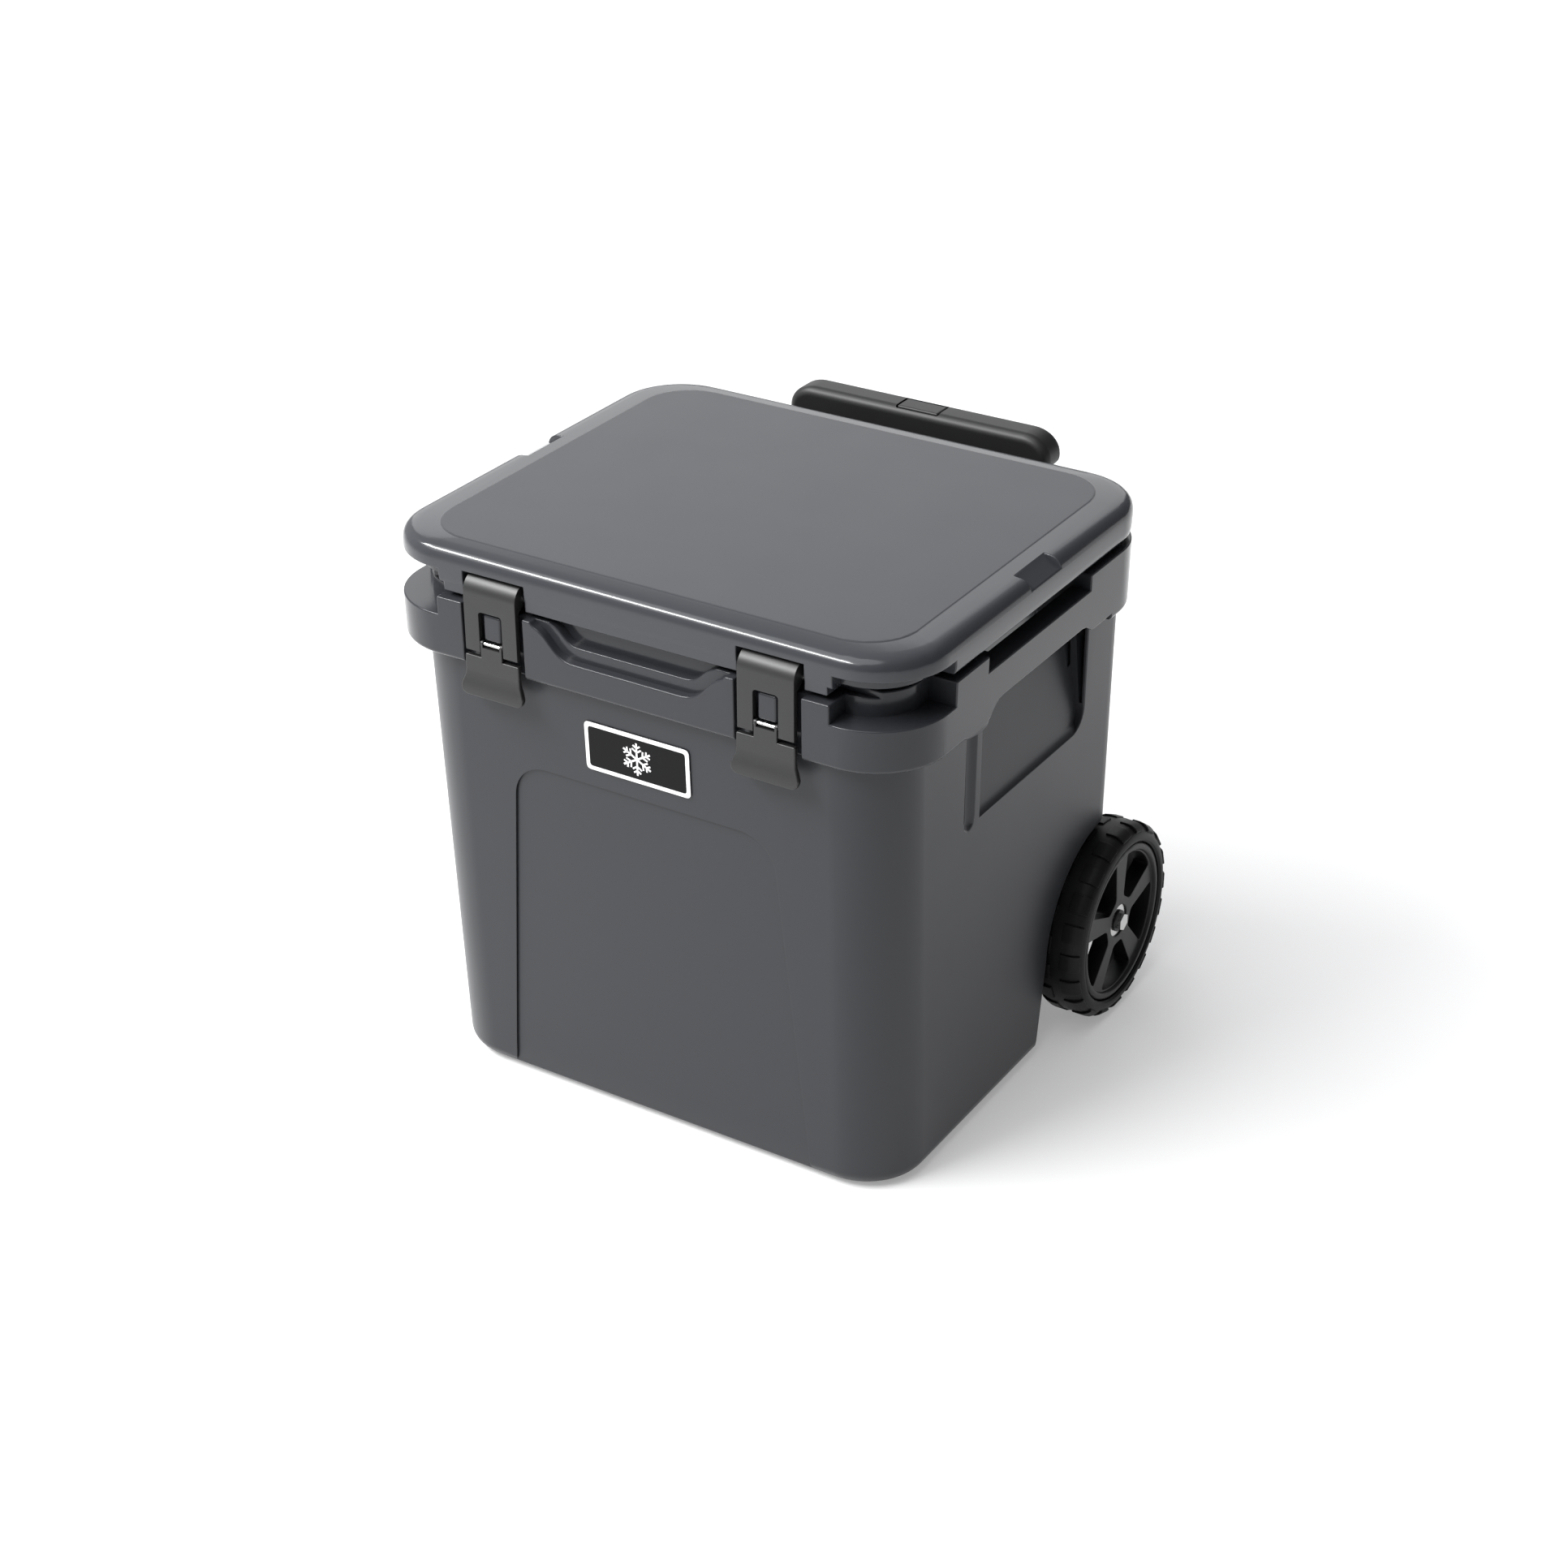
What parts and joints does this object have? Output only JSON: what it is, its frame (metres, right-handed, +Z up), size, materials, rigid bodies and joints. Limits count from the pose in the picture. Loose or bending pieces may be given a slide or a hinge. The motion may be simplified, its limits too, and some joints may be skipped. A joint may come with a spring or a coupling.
{
  "type": "wheeled cooler",
  "caption": "Hard-sided insulated cooler with a latched hinged lid, side handholds, rear wheels and a telescopic pull handle.",
  "frame": {"origin": "the middle of the footprint of the whole closed cooler, on the floor", "axes": "+Z up; the front with its latches faces -Y; +X is the right-hand side seen from the front; the handle is retracted and the lid is closed"},
  "size_m": [0.502, 0.478, 0.4945],
  "materials": {
    "shell": "charcoal moulded polyethylene, satin with a soft gloss",
    "black_plastic": "black moulded nylon, fine texture",
    "badge": "dark plate with a pale printed border and a snowflake",
    "latch_rubber": "black tough polymer, satin",
    "grip": "black moulded plastic, satin",
    "rubber": "black rubber",
    "tyre": "solid black tyre with blocks round both shoulders",
    "steel": "bright zinc-plated and stainless steel",
    "aluminium": "dark anodised aluminium tube"
  },
  "bodies": {
    "tub": {"tub_shell": "shell", "fill_plug": "black_plastic", "foot_left": "rubber", "foot_right": "rubber", "badge_plate": "badge", "hinge_pin_left": "steel", "hinge_pin_right": "steel", "axle": "steel", "axle_nut_left": "steel", "axle_nut_right": "steel", "axle_washer_left": "black_plastic", "axle_washer_right": "black_plastic", "wheel_spacer_left": "black_plastic", "wheel_spacer_right": "black_plastic", "handle_guide_upper": "black_plastic", "handle_guide_lower": "black_plastic", "guide_screw_1": "steel", "guide_screw_2": "steel", "guide_screw_3": "steel", "guide_screw_4": "steel", "handle_tube_outer_left": "aluminium", "handle_tube_outer_right": "aluminium"},
    "lid": {"lid_shell": "shell", "lid_fill_plug": "black_plastic", "lid_gasket": "rubber", "strap_pin_left": "steel", "strap_pin_right": "steel"},
    "strap_left": {"latch_strap_left": "latch_rubber", "latch_bar_left": "steel"},
    "strap_right": {"latch_strap_right": "latch_rubber", "latch_bar_right": "steel"},
    "lever_left": {"latch_lever_left": "latch_rubber"},
    "lever_right": {"latch_lever_right": "latch_rubber"},
    "wheel_left": {"tyre_left": "tyre", "rim_left": "black_plastic", "bearing_outer_left": "steel", "bearing_inner_left": "steel"},
    "wheel_right": {"tyre_right": "tyre", "rim_right": "black_plastic", "bearing_outer_right": "steel", "bearing_inner_right": "steel"},
    "handle_middle": {"handle_tube_middle_left": "aluminium", "handle_tube_middle_right": "aluminium"},
    "handle_top": {"handle_tube_inner_left": "aluminium", "handle_tube_inner_right": "aluminium", "handle_grip": "grip"},
    "button": {"release_button": "grip"}
  },
  "joints": [
    {"name": "lid_hinge", "type": "hinge", "parent": "tub", "child": "lid", "pos_m": [0, 0.1654, 0.455], "axis": [-1, 0, 0], "range_deg": [0, 90]},
    {"name": "strap_swing_left", "type": "hinge", "parent": "lid", "child": "strap_left", "pos_m": [-0.1265, -0.2226, 0.463], "axis": [-1, 0, 0], "range_deg": [0, 88]},
    {"name": "strap_swing_right", "type": "hinge", "parent": "lid", "child": "strap_right", "pos_m": [0.1265, -0.2226, 0.463], "axis": [-1, 0, 0], "range_deg": [0, 88]},
    {"name": "lever_flip_left", "type": "hinge", "parent": "strap_left", "child": "lever_left", "pos_m": [-0.1265, -0.2342, 0.4218], "axis": [-1, 0, 0], "range_deg": [0, 70]},
    {"name": "lever_flip_right", "type": "hinge", "parent": "strap_right", "child": "lever_right", "pos_m": [0.1265, -0.2342, 0.4218], "axis": [-1, 0, 0], "range_deg": [0, 70]},
    {"name": "wheel_spin_left", "type": "hinge", "parent": "tub", "child": "wheel_left", "pos_m": [-0.227, 0.1505, 0.0885], "axis": [1, 0, 0], "continuous": true},
    {"name": "wheel_spin_right", "type": "hinge", "parent": "tub", "child": "wheel_right", "pos_m": [0.227, 0.1505, 0.0885], "axis": [1, 0, 0], "continuous": true},
    {"name": "handle_lower_slide", "type": "slide", "parent": "tub", "child": "handle_middle", "axis": [0, 0, 1], "range_m": [0, 0.24]},
    {"name": "handle_upper_slide", "type": "slide", "parent": "handle_middle", "child": "handle_top", "axis": [0, 0, 1], "range_m": [0, 0.24]},
    {"name": "button_press", "type": "slide", "parent": "handle_top", "child": "button", "axis": [0, 0, -1], "range_m": [0, 0.004], "stiffness_N_per_m": 400}
  ],
  "couplings": [
    {"joint": "handle_upper_slide", "follows": "handle_lower_slide", "ratio": 1}
  ]
}
